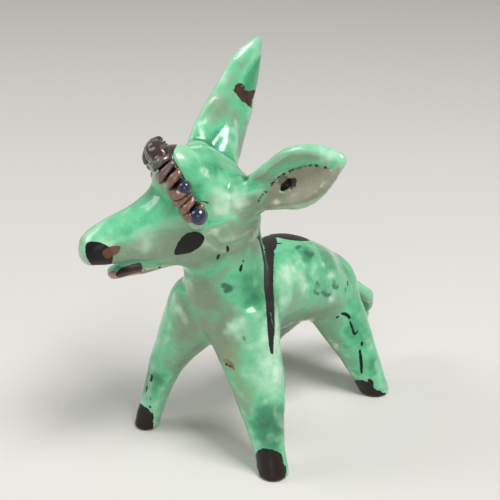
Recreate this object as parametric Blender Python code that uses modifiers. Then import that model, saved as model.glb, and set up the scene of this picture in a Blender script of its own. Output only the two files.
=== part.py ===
"""A donkey foal in glazed clay, pinched and rolled by hand in one piece.

The foal looks along -Y, its left side is +X and it stands on four splayed legs on z = 0. It is
one solid: every lump of clay is a loft, a leaf or a ball. The thick lumps are kneaded into one
body by a voxel remesh, the thin ones are pressed on and kneaded again, slits and dents are cut,
and the soles are cut flat.

Sizes are in millimetres. The lumps are placed from the middle of the ground between the fore
feet. At the end the figure moves so that its origin is under the middle of its box.
"""

import math
from collections import namedtuple

import bmesh
import bpy
import numpy as np
from mathutils import Vector

MM = 0.001

# One cross-section of a lump: its centre, and half its size sideways and upwards.
Section = namedtuple("Section", "centre half_side half_up")
# One cross-section of the head: how far forward it is, its top and bottom, and half its width.
Slice = namedtuple("Slice", "forward top bottom half_width")

# Torso: a fat sausage that sinks from the withers to the rump and sways to the left.
CHEST_X, CHEST_Y, CHEST_Z = 1.0, 9.0, 56.0
CHEST_HALF_WIDTH, CHEST_HALF_HEIGHT = 17.0, 17.0
WAIST_X, WAIST_Y, WAIST_Z = 2.0, 37.0, 55.0
WAIST_HALF_WIDTH, WAIST_HALF_HEIGHT = 15.5, 17.0
LOIN_X, LOIN_Y, LOIN_Z = 2.75, 53.0, 50.5
LOIN_HALF_WIDTH, LOIN_HALF_HEIGHT = 15.8, 16.0
HIP_X, HIP_Y, HIP_Z = 3.5, 65.5, 44.5
HIP_HALF_WIDTH, HIP_HALF_HEIGHT = 15.3, 14.8
BREAST_BULGE = 10.0
RUMP_BULGE = 14.0

# Legs: the middle of each sole, how far the knee bows outwards, and the radii of root, knee,
# shank and hoof. Knee and shank lie at their shares of the way down.
FORE_LEFT_FOOT = (28.6, 3.2)
FORE_RIGHT_FOOT = (-28.8, -3.4)
HIND_LEFT_FOOT = (24.6, 74.0)
HIND_RIGHT_FOOT = (-31.0, 67.0)
FORE_ROOT_X, FORE_ROOT_DROP = 9.5, 3.0
HIND_ROOT_X, HIND_ROOT_DROP = 8.0, 6.5
HIND_RIGHT_LEAD = 12.0
KNEE_SHARE, SHANK_SHARE = 0.45, 0.80
FORE_LEFT_BOW, FORE_RIGHT_BOW = 1.2, 4.0
FORE_LEFT_RADII = (13.3, 9.4, 6.2, 6.0)
FORE_RIGHT_RADII = (13.3, 7.2, 4.9, 5.0)
HIND_BOW = 0.6
HIND_LEFT_RADII = (11.4, 8.4, 6.5, 5.8)
HIND_RIGHT_RADII = (11.4, 7.8, 6.2, 5.8)
SOLE_DEPTH = 4.0

# Neck: a short thick stump between the chest and the skull.
NECK_BOTTOM_HALF_WIDTH, NECK_TOP_HALF_WIDTH = 16.5, 13.5
NECK_HALF_DEPTH = 14.0
NECK_SET_BACK = 2.0

# Head: it is turned to the foal's right. Its own axes are forward, left and up, from the middle
# of the skull. The crown rises over the skull to a crest, and the brow joins it to the muzzle.
# A lump's ends are how far its back and its front dome out, as shares of the end's half size.
HEAD_X, HEAD_Y, HEAD_Z = 0.0, 6.0, 90.0
HEAD_TURN = math.radians(30.0)
SKULL_ENDS, CROWN_ENDS, BROW_ENDS, JAW_ENDS = (0.5, 0.8), (0.5, 0.35), (0.5, 0.5), (0.5, 0.6)
SKULL = (
    Slice(-8.0, 16.5, -13.0, 14.0),
    Slice(2.0, 17.0, -15.5, 16.0),
    Slice(12.0, 15.5, -15.0, 15.0),
    Slice(21.0, 14.0, -12.0, 12.0),
    Slice(27.0, 9.4, -11.5, 10.0),
    Slice(34.0, 6.4, -11.0, 8.2),
    Slice(40.0, 4.6, -10.6, 7.2),
    Slice(43.5, 2.4, -10.2, 6.6),
)
CROWN = (
    Slice(-8.0, 18.0, -10.0, 12.5),
    Slice(2.0, 23.4, -10.0, 14.0),
    Slice(11.0, 26.0, -10.0, 12.5),
    Slice(17.0, 28.5, -10.0, 9.0),
)
BROW = (
    Slice(13.0, 21.0, -5.0, 11.0),
    Slice(19.5, 17.5, -9.5, 8.5),
    Slice(23.0, 12.5, -10.5, 7.0),
)
JAW = (
    Slice(14.0, -6.0, -13.0, 8.0),
    Slice(26.0, -9.6, -14.6, 7.0),
    Slice(37.0, -12.6, -16.0, 4.4),
)
NOSTRIL_AT, NOSTRIL_FACES = (44.5, 7.2, -3.6), (0.62, 0.78, 0.0)
NOSTRIL_HALF_WIDTH, NOSTRIL_HALF_HEIGHT, NOSTRIL_DEPTH = 4.2, 4.6, 1.4

# Ears: leaves bent to a trough. The left one lies out to the side, the right one stands up.
# A tapered root backs each ear: its radius at shares of the way from the ear's base to its tip.
EAR_THICKNESS = 3.2
EAR_BEND = math.radians(50.0)
LEFT_EAR_BASE, LEFT_EAR_TIP = (-7.0, 10.0, 10.5), (-28.4, 42.0, 32.4)
LEFT_EAR_OPENS = (0.31, 0.86, 0.41)
LEFT_EAR_HALF_WIDTHS = (5.4, 6.2, 8.0, 9.2, 7.0, 0.6)
RIGHT_EAR_BASE, RIGHT_EAR_TIP = (-3.5, -10.0, 12.0), (-26.6, -30.0, 54.6)
RIGHT_EAR_OPENS = (0.1, -0.8, 0.3)
RIGHT_EAR_HALF_WIDTHS = (11.5, 12.0, 10.8, 8.8, 6.2, 0.6)
EAR_ROOT = ((0.0, 7.5), (0.25, 5.6), (0.42, 3.0))
LEFT_EAR_ROOT_SHIFT, RIGHT_EAR_ROOT_SHIFT = -2.6, 2.0
RIGHT_EAR_WEB_AT, RIGHT_EAR_WEB_RADII = (3.5, -9.5, 19.5), (6.0, 5.0, 6.0)
EAR_PIT_RADIUS = 2.6
EAR_PIT_SHARE, EAR_PIT_LIFT = 0.40, 2.1

# Garland: a pleated strip over the forehead from bead to bead, given for the left half.
GARLAND_ARCH = (
    (11.0, 15.8, 8.5),
    (14.5, 13.0, 13.5),
    (17.6, 9.2, 19.0),
    (20.2, 4.2, 24.5),
    (20.8, 0.0, 28.5),
)
PLEATS_PER_SPAN = 2
PLEAT_HALF_LENGTH, PLEAT_HALF_WIDTH, PLEAT_HALF_HEIGHT = 1.7, 3.8, 2.6
PLEAT_TILT, PLEATS_FACE = 0.5, (0.75, 0.5, 0.3)
LOW_BEAD_AT, LOW_BEAD_RADIUS = (12.2, 17.4, 8.2), 3.2
HIGH_BEAD_AT, HIGH_BEAD_RADIUS = (16.2, 12.8, 16.0), 2.4

# Tail: a flat flap that hangs off the rump. Its rows are back and down from the hips.
TAIL = (
    ((0.0, 12.0, -4.0), 4.2, 3.6),
    ((0.5, 20.0, -8.5), 5.4, 3.0),
    ((1.0, 25.5, -14.5), 5.8, 2.6),
    ((1.0, 25.5, -21.0), 5.0, 2.4),
    ((1.0, 22.0, -27.0), 3.4, 2.2),
)

# Kneading: the voxel that turns lumps into one skin, and how often its joins are softened.
BODY_VOXEL = 1.2
BODY_SOFTENING_ROUNDS = 16
SKIN_VOXEL = 0.75
SKIN_SOFTENING_ROUNDS = 4
FACES_KEPT = 0.065

FLOOR_WIDTH, FLOOR_THICKNESS = 400.0, 20.0
GLAZE_COLOUR = (0.16, 0.47, 0.30, 1.0)
GLAZE_ROUGHNESS = 0.15


def head_point(forward, left, up):
    """A point given along the head's own axes, in the figure's millimetres."""
    ahead = Vector((-math.sin(HEAD_TURN), -math.cos(HEAD_TURN), 0.0))
    aside = Vector((math.cos(HEAD_TURN), -math.sin(HEAD_TURN), 0.0))
    middle = Vector((HEAD_X, HEAD_Y, HEAD_Z))
    return middle + float(forward) * ahead + float(left) * aside + Vector((0.0, 0.0, float(up)))


def head_direction(forward, left, up):
    """A direction given along the head's own axes."""
    return (head_point(forward, left, up) - head_point(0.0, 0.0, 0.0)).normalized()


def smooth_curve(rows, steps):
    """Points on a smooth curve through the rows, a few steps to each span."""
    rows = np.array(rows, float)
    before = 2.0 * rows[0] - rows[1]
    after = 2.0 * rows[-1] - rows[-2]
    padded = np.vstack([before, rows, after])
    points = []
    for i in range(len(rows) - 1):
        p0, p1, p2, p3 = padded[i:i + 4]
        for k in range(steps):
            t = k / steps
            points.append(
                0.5 * (2 * p1 + (p2 - p0) * t + (2 * p0 - 5 * p1 + 4 * p2 - p3) * t ** 2
                       + (3 * p1 - p0 - 3 * p2 + p3) * t ** 3)
            )
    points.append(rows[-1])
    return np.array(points)


def new_object(name, vertices, faces, collection):
    """A mesh object from points in millimetres, with its faces turned outwards."""
    mesh = bpy.data.meshes.new(name)
    mesh.from_pydata([tuple(MM * c for c in v) for v in vertices], [], faces)
    shape = bmesh.new()
    shape.from_mesh(mesh)
    bmesh.ops.recalc_face_normals(shape, faces=shape.faces)
    shape.to_mesh(mesh)
    shape.free()
    thing = bpy.data.objects.new(name, mesh)
    collection.objects.link(thing)
    return thing


def dome(ring, way, share, rounds=5):
    """The rings that close a loft's end, each smaller and further out than the last."""
    centre, across, high, tangent = ring
    length = share * 0.5 * (np.linalg.norm(across) + np.linalg.norm(high))
    closing = []
    for k in range(1, rounds + 1):
        angle = 0.5 * math.pi * (k - 0.15 * (k == rounds)) / rounds
        shrink = math.cos(angle)
        out = centre + way * length * math.sin(angle) * tangent
        closing.append((out, across * shrink, high * shrink, tangent))
    return closing


def loft(name, sections, collection, side=None, up=(0.0, 0.0, 1.0), front=0.8, back=0.8,
         sides=24, steps=4):
    """A lump through the sections, with a dome at each end.

    The sections face along the path, or stay in the plane of side and up where side is given.
    front and back are the lengths of the domes as a share of the end section's mean half size.
    """
    rows = smooth_curve([[*s.centre, s.half_side, s.half_up] for s in sections], steps)
    centres = rows[:, :3]
    tangents = np.gradient(centres, axis=0)
    up = np.array(up, float)
    rings = []
    for centre, tangent, half in zip(centres, tangents, rows[:, 3:]):
        tangent = tangent / np.linalg.norm(tangent)
        across = np.cross(tangent, up) if side is None else np.array(side, float)
        across = across / np.linalg.norm(across)
        high = np.cross(across, tangent) if side is None else up
        rings.append((centre, across * half[0], high * half[1], tangent))
    rings = [*dome(rings[0], -1.0, front)[::-1], *rings, *dome(rings[-1], 1.0, back)]
    vertices = []
    for centre, across, high, _ in rings:
        for k in range(sides):
            angle = 2.0 * math.pi * k / sides
            vertices.append(centre + across * math.cos(angle) + high * math.sin(angle))
    faces = []
    for ring in range(len(rings) - 1):
        for k in range(sides):
            a, b = ring * sides + k, ring * sides + (k + 1) % sides
            faces.append((a, b, b + sides, a + sides))
    faces.append(tuple(range(sides)))
    faces.append(tuple(range(len(vertices) - 1, len(vertices) - 1 - sides, -1)))
    return new_object(name, vertices, faces, collection)


def ball(name, centre, radii, collection, axes=((1, 0, 0), (0, 1, 0), (0, 0, 1))):
    """An ellipsoid with its three radii along the given axes."""
    shape = bmesh.new()
    bmesh.ops.create_uvsphere(shape, u_segments=20, v_segments=12, radius=1.0)
    vertices = []
    for vertex in shape.verts:
        spot = Vector(centre)
        for axis, radius, amount in zip(axes, radii, vertex.co):
            spot += Vector(axis) * radius * amount
        vertices.append(spot)
    faces = [[v.index for v in face.verts] for face in shape.faces]
    shape.free()
    return new_object(name, vertices, faces, collection)


def leaf(name, base, tip, opens, half_widths, collection, rows=16, columns=12):
    """A leaf of clay from base to tip, bent to a trough that opens the given way."""
    along = (tip - base).normalized()
    open_way = (opens - opens.dot(along) * along).normalized()
    across = along.cross(open_way)
    widths = smooth_curve([[width] for width in half_widths], rows)[:, 0]
    vertices, faces = [], []
    for i, width in enumerate(widths):
        spot = base.lerp(tip, i / (len(widths) - 1))
        reach = float(width) / math.sin(EAR_BEND)
        for j in range(columns + 1):
            turn = EAR_BEND * (2.0 * j / columns - 1.0)
            vertices.append(spot + across * reach * math.sin(turn)
                            + open_way * reach * (1.0 - math.cos(turn)))
    stride = columns + 1
    for i in range(len(widths) - 1):
        for j in range(columns):
            a = i * stride + j
            faces.append((a, a + 1, a + 1 + stride, a + stride))
    sheet = new_object(name, vertices, faces, collection)
    shell = sheet.modifiers.new("thickness", "SOLIDIFY")
    shell.thickness = EAR_THICKNESS * MM
    shell.offset = 0.0
    return sheet


def torso(clay):
    loft("torso", [
        Section((CHEST_X, CHEST_Y, CHEST_Z), CHEST_HALF_WIDTH, CHEST_HALF_HEIGHT),
        Section((WAIST_X, WAIST_Y, WAIST_Z), WAIST_HALF_WIDTH, WAIST_HALF_HEIGHT),
        Section((LOIN_X, LOIN_Y, LOIN_Z), LOIN_HALF_WIDTH, LOIN_HALF_HEIGHT),
        Section((HIP_X, HIP_Y, HIP_Z), HIP_HALF_WIDTH, HIP_HALF_HEIGHT),
    ], clay, front=BREAST_BULGE / CHEST_HALF_WIDTH, back=RUMP_BULGE / HIP_HALF_WIDTH)


def leg(name, root, foot, bow, radii, clay):
    """A tapered leg from deep in the torso to below the floor, where the sole is cut."""
    sole = Vector((foot[0], foot[1], 0.0))
    outwards = Vector((math.copysign(bow, foot[0]), 0.0, 0.0))
    stations = [
        root,
        root.lerp(sole, KNEE_SHARE) + outwards,
        root.lerp(sole, SHANK_SHARE) + 0.5 * outwards,
        sole,
        sole - Vector((0.0, 0.0, SOLE_DEPTH)),
    ]
    radii = [*radii, radii[-1]]
    loft(name, [Section(spot, radius, radius) for spot, radius in zip(stations, radii)], clay,
         up=(0.0, 1.0, 0.0))


def legs(clay):
    fore_height, hind_height = CHEST_Z - FORE_ROOT_DROP, HIP_Z - HIND_ROOT_DROP
    leg("fore_left", Vector((FORE_ROOT_X, CHEST_Y, fore_height)),
        FORE_LEFT_FOOT, FORE_LEFT_BOW, FORE_LEFT_RADII, clay)
    leg("fore_right", Vector((-FORE_ROOT_X, CHEST_Y, fore_height)),
        FORE_RIGHT_FOOT, FORE_RIGHT_BOW, FORE_RIGHT_RADII, clay)
    leg("hind_left", Vector((HIND_ROOT_X, HIP_Y, hind_height)),
        HIND_LEFT_FOOT, HIND_BOW, HIND_LEFT_RADII, clay)
    leg("hind_right", Vector((-HIND_ROOT_X, HIP_Y - HIND_RIGHT_LEAD, hind_height)),
        HIND_RIGHT_FOOT, HIND_BOW, HIND_RIGHT_RADII, clay)


def neck(clay):
    bottom = (CHEST_X, CHEST_Y + NECK_SET_BACK, CHEST_Z)
    top = (HEAD_X, HEAD_Y + NECK_SET_BACK, HEAD_Z)
    loft("neck", [
        Section(bottom, NECK_BOTTOM_HALF_WIDTH, NECK_HALF_DEPTH),
        Section(top, NECK_TOP_HALF_WIDTH, NECK_HALF_DEPTH),
    ], clay, up=(0.0, 1.0, 0.0))


def head_lump(name, slices, ends, clay):
    """A lump along the head's forward axis."""
    loft(name, [
        Section(head_point(s.forward, 0.0, 0.5 * (s.top + s.bottom)),
                s.half_width, 0.5 * (s.top - s.bottom))
        for s in slices
    ], clay, side=head_direction(0, 1, 0), front=ends[0], back=ends[1])


def head(clay):
    head_lump("skull", SKULL, SKULL_ENDS, clay)
    head_lump("crown", CROWN, CROWN_ENDS, clay)
    head_lump("brow", BROW, BROW_ENDS, clay)


def jaw(clay):
    head_lump("jaw", JAW, JAW_ENDS, clay)


def ears(clay):
    for name, base, tip, opens, half_widths, shift in (
        ("ear_left", LEFT_EAR_BASE, LEFT_EAR_TIP, LEFT_EAR_OPENS,
         LEFT_EAR_HALF_WIDTHS, LEFT_EAR_ROOT_SHIFT),
        ("ear_right", RIGHT_EAR_BASE, RIGHT_EAR_TIP, RIGHT_EAR_OPENS,
         RIGHT_EAR_HALF_WIDTHS, RIGHT_EAR_ROOT_SHIFT),
    ):
        base, tip = head_point(*base), head_point(*tip)
        opens = head_direction(*opens)
        leaf(name, base, tip, opens, half_widths, clay)
        loft(name + "_root", [
            Section(base.lerp(tip, share) + (shift * opens if share else Vector()), radius, radius)
            for share, radius in EAR_ROOT
        ], clay, up=(1.0, 0.0, 0.0))
    ball("ear_right_web", head_point(*RIGHT_EAR_WEB_AT), RIGHT_EAR_WEB_RADII, clay,
         axes=(head_direction(1, 0, 0), head_direction(0, 1, 0), head_direction(0, 0, 1)))


def garland(clay):
    """A pleated strip of clay over the forehead, with two beads on each side."""
    left_half = smooth_curve(GARLAND_ARCH, PLEATS_PER_SPAN)
    tangents = np.gradient(left_half, axis=0)
    for way in (1, -1):
        for k, ((f, l, z), (tf, tl, tz)) in enumerate(zip(left_half, tangents)):
            along = head_direction(tf, way * tl, tz)
            out = head_direction(PLEATS_FACE[0], way * PLEATS_FACE[1], PLEATS_FACE[2])
            out = (out - out.dot(along) * along).normalized()
            ball(f"pleat_{way}_{k}", head_point(f, way * l, z),
                 (PLEAT_HALF_LENGTH, PLEAT_HALF_WIDTH, PLEAT_HALF_HEIGHT), clay,
                 axes=((along + PLEAT_TILT * out).normalized(), along.cross(out), out))
        for name, (f, l, z), radius in (
            ("low_bead", LOW_BEAD_AT, LOW_BEAD_RADIUS),
            ("high_bead", HIGH_BEAD_AT, HIGH_BEAD_RADIUS),
        ):
            ball(f"{name}_{way}", head_point(f, way * l, z), (radius, radius, radius), clay)


def tail(clay):
    hips = Vector((HIP_X, HIP_Y, HIP_Z))
    loft("tail", [
        Section(hips + Vector(offset), half_width, half_thickness)
        for offset, half_width, half_thickness in TAIL
    ], clay, up=(0.0, 0.3, 1.0))


def pressed_together(lumps, name, collection):
    """One object that holds every lump's finished mesh, in place of the lumps."""
    bpy.context.view_layer.update()
    graph = bpy.context.evaluated_depsgraph_get()
    shape = bmesh.new()
    for lump in lumps:
        finished = bpy.data.meshes.new_from_object(lump.evaluated_get(graph))
        shape.from_mesh(finished)
        bpy.data.meshes.remove(finished)
    mesh = bpy.data.meshes.new(name)
    shape.to_mesh(mesh)
    shape.free()
    for lump in list(lumps):
        bpy.data.objects.remove(lump)
    thing = bpy.data.objects.new(name, mesh)
    collection.objects.link(thing)
    return thing


def knead(thing, voxel, rounds):
    """Adds the modifiers that turn touching lumps into one skin and soften its joins."""
    skin = thing.modifiers.new("one_skin", "REMESH")
    skin.mode = "VOXEL"
    skin.voxel_size = voxel * MM
    soft = thing.modifiers.new("softened", "SMOOTH")
    soft.factor = 0.5
    soft.iterations = round(rounds)


def nostril_cutters(cutters):
    """A shallow dent on each side of the muzzle's tip."""
    forward, left, up = NOSTRIL_AT
    for name, way in (("nostril_left", 1), ("nostril_right", -1)):
        out = head_direction(NOSTRIL_FACES[0], way * NOSTRIL_FACES[1], NOSTRIL_FACES[2])
        across = out.cross(Vector((0.0, 0.0, 1.0)))
        ball(name, head_point(forward, way * left, up),
             (NOSTRIL_HALF_WIDTH, NOSTRIL_DEPTH, NOSTRIL_HALF_HEIGHT), cutters,
             axes=(across, out, (0.0, 0.0, 1.0)))


def ear_pit_cutter(cutters):
    """A small pit in the left ear's trough."""
    base, tip = head_point(*LEFT_EAR_BASE), head_point(*LEFT_EAR_TIP)
    centre = base.lerp(tip, EAR_PIT_SHARE) + EAR_PIT_LIFT * head_direction(*LEFT_EAR_OPENS)
    ball("ear_pit", centre, (EAR_PIT_RADIUS, EAR_PIT_RADIUS, EAR_PIT_RADIUS), cutters)


def floor_cutter(cutters):
    """A block under the ground plane, which leaves the soles flat."""
    shape = bmesh.new()
    bmesh.ops.create_cube(shape, size=1.0)
    vertices = [
        (FLOOR_WIDTH * v.co.x, FLOOR_WIDTH * v.co.y, FLOOR_THICKNESS * (v.co.z - 0.5))
        for v in shape.verts
    ]
    faces = [[v.index for v in face.verts] for face in shape.faces]
    shape.free()
    return new_object("floor", vertices, faces, cutters)


def cut(thing, cutter):
    """Takes the cutter's shape out of the figure."""
    cutter.hide_render = True
    cutter.display_type = "WIRE"
    cutting = thing.modifiers.new(cutter.name, "BOOLEAN")
    cutting.operation = "DIFFERENCE"
    cutting.solver = "EXACT"
    cutting.object = cutter


def glaze():
    material = bpy.data.materials.new("mint_glaze")
    material.use_nodes = True
    surface = material.node_tree.nodes["Principled BSDF"]
    surface.inputs["Base Color"].default_value = GLAZE_COLOUR
    surface.inputs["Roughness"].default_value = GLAZE_ROUGHNESS
    surface.inputs["Metallic"].default_value = 0.0
    return material


def stand_on_origin(donkey, cutters):
    """Moves the figure and its cutters so that the origin is under the middle of its box."""
    origin = bpy.data.objects.new("figure_origin", None)
    bpy.context.scene.collection.objects.link(origin)
    for thing in (donkey, *cutters.objects):
        thing.parent = origin
    bpy.context.view_layer.update()
    finished = donkey.evaluated_get(bpy.context.evaluated_depsgraph_get())
    corners = np.array([vertex.co for vertex in finished.data.vertices])
    middle = 0.5 * (corners.min(axis=0) + corners.max(axis=0))
    origin.location = (-middle[0], -middle[1], 0.0)


def main():
    for thing in list(bpy.data.objects):
        bpy.data.objects.remove(thing)
    clay = bpy.data.collections.new("lumps")
    figure = bpy.data.collections.new("donkey_foal")
    cutters = bpy.data.collections.new("cutters")
    for collection in (clay, figure, cutters):
        bpy.context.scene.collection.children.link(collection)

    for make_lumps in (torso, legs, neck, head):
        make_lumps(clay)
    body = pressed_together(clay.objects, "body", clay)
    knead(body, BODY_VOXEL, BODY_SOFTENING_ROUNDS)
    for make_lumps in (jaw, ears, garland, tail):
        make_lumps(clay)
    donkey = pressed_together(clay.objects, "donkey", figure)
    bpy.data.collections.remove(clay)
    donkey.data.materials.append(glaze())
    knead(donkey, SKIN_VOXEL, SKIN_SOFTENING_ROUNDS)

    nostril_cutters(cutters)
    ear_pit_cutter(cutters)
    for cutter in list(cutters.objects):
        cut(donkey, cutter)
    fewer = donkey.modifiers.new("fewer_faces", "DECIMATE")
    fewer.ratio = FACES_KEPT
    cut(donkey, floor_cutter(cutters))
    stand_on_origin(donkey, cutters)


main()
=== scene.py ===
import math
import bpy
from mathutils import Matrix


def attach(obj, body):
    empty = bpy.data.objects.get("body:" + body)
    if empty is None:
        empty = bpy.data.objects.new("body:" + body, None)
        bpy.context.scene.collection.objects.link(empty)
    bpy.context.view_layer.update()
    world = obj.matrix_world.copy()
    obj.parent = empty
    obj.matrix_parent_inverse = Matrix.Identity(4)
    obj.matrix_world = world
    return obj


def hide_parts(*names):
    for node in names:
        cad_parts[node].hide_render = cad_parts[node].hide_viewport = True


bl_info = {
    "name": "Glazed Donkey Foal",
    "version": (1, 0, 0),
    "blender": (4, 5, 0),
    "location": "3D View > Sidebar > Foal",
    "description": "Glazes the clay foal, paints its marks, pleats its garland and sets it on a pale floor",
    "category": "Object",
}

from collections import namedtuple

import bmesh
import bpy
import numpy as np
from bpy.props import FloatProperty, FloatVectorProperty, IntProperty, PointerProperty
from mathutils import Matrix, Vector, noise
from mathutils.bvhtree import BVHTree
from mathutils.kdtree import KDTree

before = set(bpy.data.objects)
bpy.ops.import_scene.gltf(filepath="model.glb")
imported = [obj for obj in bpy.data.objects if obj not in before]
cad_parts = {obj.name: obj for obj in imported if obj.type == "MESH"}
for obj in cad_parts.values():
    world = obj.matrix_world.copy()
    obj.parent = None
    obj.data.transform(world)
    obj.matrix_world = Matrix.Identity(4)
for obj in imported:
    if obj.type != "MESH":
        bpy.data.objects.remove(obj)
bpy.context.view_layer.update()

MM = 0.001

# The photograph's view: a square picture, and the eye that looks at a point inside the foal.
PHOTO_SIDE = 500
PHOTO_AZIMUTH, PHOTO_ELEVATION = math.radians(40.0), math.radians(24.0)
PHOTO_TARGET, PHOTO_DISTANCE = (-9.1 * MM, -2.4 * MM, 71.1 * MM), 404.0 * MM
LENS, SENSOR = 80.0, 36.0
FOCAL_PIXELS = PHOTO_SIDE * LENS / SENSOR

# The head's middle and its turn to the foal's right, the plane that halves the body, and the
# soles of the left and the right hind foot.
HEAD_MIDDLE = np.array([-7.5, -22.7, 90.0]) * MM
HEAD_TURN = math.radians(30.0)
BODY_HALF_X = -6.0 * MM
HIND_FEET = np.array([[16.9, 45.0, 0.0], [-37.9, 37.9, 0.0]]) * MM

# The coats of paint. The mesh holds how far each point is outside every coat, up to FAR
# millimetres. The fields are where the glaze is thin, pooled, pale, yellow or pitted, from 0 to 1.
# The thin field also holds painted shade underneath and below the brow, the pooled field painted
# shade on the hind leg, and the pale field painted light on the near foreleg's lit side.
COATS = (
    "blot", "ochre", "ink", "hoof", "umber", "rust", "clay", "flap", "hollow", "maroon", "lip",
    "split", "band", "sole",
)
FIELDS = ("thin", "pool", "pale", "yellow", "pits")
FAR = 3.0
# An outline's paint stays near skin that the photograph shows inside it and not edge-on. More
# room is left where a mark is repeated, because the two sides aren't quite alike.
EDGE_ON = 0.28
PAINT_REACH, REPEATED_REACH = 1.8 * MM, 3.2 * MM
# Skin counts as seen when it lies no deeper than this behind what the photograph shows there.
SIGHT_SLACK, REPEATED_SLACK = 2.5 * MM, 8.0 * MM
# Distances from an outline are worked out to this many pixels round it, and a quarter more.
OUTLINE_MARGIN, OUTLINE_SPREAD = 12.0, 1.25
# Skin that faces this far away from a mark's middle is the other side of a thin wall.
OTHER_SIDE = -0.25
# The stripe's repeat on the foal's hidden side ends at this height, where the neck begins.
WITHERS_Z = 73.0 * MM
# The dark patch on the back: its middle and half sizes seen from above, in millimetres.
SADDLE_AT, SADDLE_HALF = np.array([-6.0, 17.0]), np.array([6.5, 9.0])
# Bare clay is skin that faces down this much, up to this many millimetres over the ground.
SOLE_FACES, SOLE_HEIGHT = -0.8, 0.4

# A closed outline or an open stroke, drawn over the photograph in its own pixels. A stroke's
# points are x, y and half width. repeat names where else on the foal the same mark lies.
Mark = namedtuple("Mark", "coat points repeat", defaults=("",))
# A soft round patch of thicker, thinner, paler or yellower glaze, some of them painted shade and painted
# light: x, y, radius and strength.
Patch = namedtuple("Patch", "field spots repeat", defaults=("",))

OUTLINES = (
    Mark("ink", ((174.1, 253.3), (176.8, 245.0), (181.3, 237.8), (188.0, 232.8), (196.5, 231.6),
                 (202.5, 234.4), (204.6, 238.6), (200.8, 245.8), (192.5, 251.8), (183.5, 254.3),
                 (176.0, 254.8)), "head"),
    Mark("ink", ((85.3, 246.0), (88.0, 242.4), (95.0, 241.6), (103.3, 243.5), (109.5, 247.5),
                 (113.0, 253.0), (112.7, 260.5), (110.0, 266.0), (105.5, 269.3), (100.3, 270.5),
                 (95.0, 268.3), (89.8, 263.0), (86.0, 255.5)), "head"),
    Mark("rust", ((102.5, 252.5), (107.8, 247.3), (114.5, 245.8), (120.2, 246.5), (119.8, 251.0),
                  (114.5, 255.5), (108.5, 258.2), (104.3, 257.0)), "head"),
    Mark("umber", ((253.9, 232.3), (257.3, 230.5), (265.0, 234.7), (276.0, 238.0), (275.0, 250.0),
                   (262.0, 250.0), (255.6, 242.8), (253.0, 236.6))),
    Mark("umber", ((257.0, 236.0), (259.6, 242.6), (262.0, 253.9), (263.9, 266.8), (263.9, 284.1),
                   (265.6, 301.4), (266.8, 318.6), (267.7, 332.5), (269.4, 348.0), (271.4, 354.6),
                   (273.4, 353.2), (273.6, 346.0), (274.6, 329.0), (274.6, 318.6), (274.3, 301.4),
                   (273.4, 284.1), (273.7, 266.8), (274.1, 251.3), (271.1, 243.5), (264.0, 236.3)),
         "body"),
    Mark("clay", ((234.5, 90.9), (235.4, 85.8), (238.3, 83.3), (244.0, 84.2), (245.9, 90.0),
                  (256.5, 90.9), (256.1, 97.6), (252.2, 107.2), (246.9, 104.3), (241.1, 99.5),
                  (236.4, 94.2))),
    Mark("flap", ((245.9, 80.4), (248.8, 72.8), (253.6, 66.0), (262.0, 54.0), (262.7, 72.8),
                  (259.4, 84.2), (257.5, 90.9), (245.9, 90.0), (245.5, 86.1))),
    Mark("hollow", ((262.0, 205.0), (266.5, 194.0), (279.4, 178.5), (294.6, 169.3), (313.7, 165.9),
                    (330.8, 168.8), (340.4, 168.0), (336.6, 178.8), (325.2, 191.6), (311.7, 200.2),
                    (296.3, 204.5), (279.4, 207.3), (268.2, 209.2))),
    # Painted shade: black in the deepest part of the near ear's hollow.
    Mark("ink", ((281.3, 191.2), (280.7, 185.5), (286.0, 179.8), (290.5, 178.4), (291.2, 183.6),
                 (287.0, 189.3))),
    Mark("clay", ((290.4, 178.8), (294.6, 177.4), (296.2, 181.7), (293.7, 187.4), (289.2, 189.0))),
    Mark("maroon", ((115.5, 274.0), (119.5, 269.0), (128.0, 265.6), (139.5, 262.6), (142.0, 266.0),
                    (141.6, 271.4), (134.0, 273.2), (124.0, 276.4), (116.5, 277.0))),
    Mark("lip", ((108.3, 272.5), (116.0, 270.5), (120.0, 274.0), (140.5, 271.3), (158.0, 269.0),
                 (160.0, 271.5), (146.0, 275.5), (132.0, 279.5), (124.0, 284.5), (116.0, 286.0),
                 (107.0, 280.0))),
    Mark("hoof", ((137.0, 404.0), (143.0, 405.0), (151.0, 412.0), (153.6, 416.0), (153.0, 426.0),
                 (151.0, 434.0), (139.0, 436.0), (131.4, 430.0), (132.6, 409.0))),
    Mark("hoof", ((256.4, 452.4), (260.0, 449.4), (269.0, 448.6), (278.0, 451.6), (282.4, 456.0),
                 (283.0, 462.0), (286.0, 468.0), (285.4, 476.0), (278.0, 484.0), (264.0, 484.0),
                 (258.4, 473.0), (256.0, 460.0))),
    Mark("hoof", ((354.8, 381.2), (361.8, 380.0), (367.0, 381.7), (368.7, 378.2), (373.1, 381.7),
                 (373.9, 387.7), (380.8, 392.1), (385.4, 392.9), (386.0, 400.0), (370.0, 402.0),
                 (358.0, 392.0)), "hind foot"),
)
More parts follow.
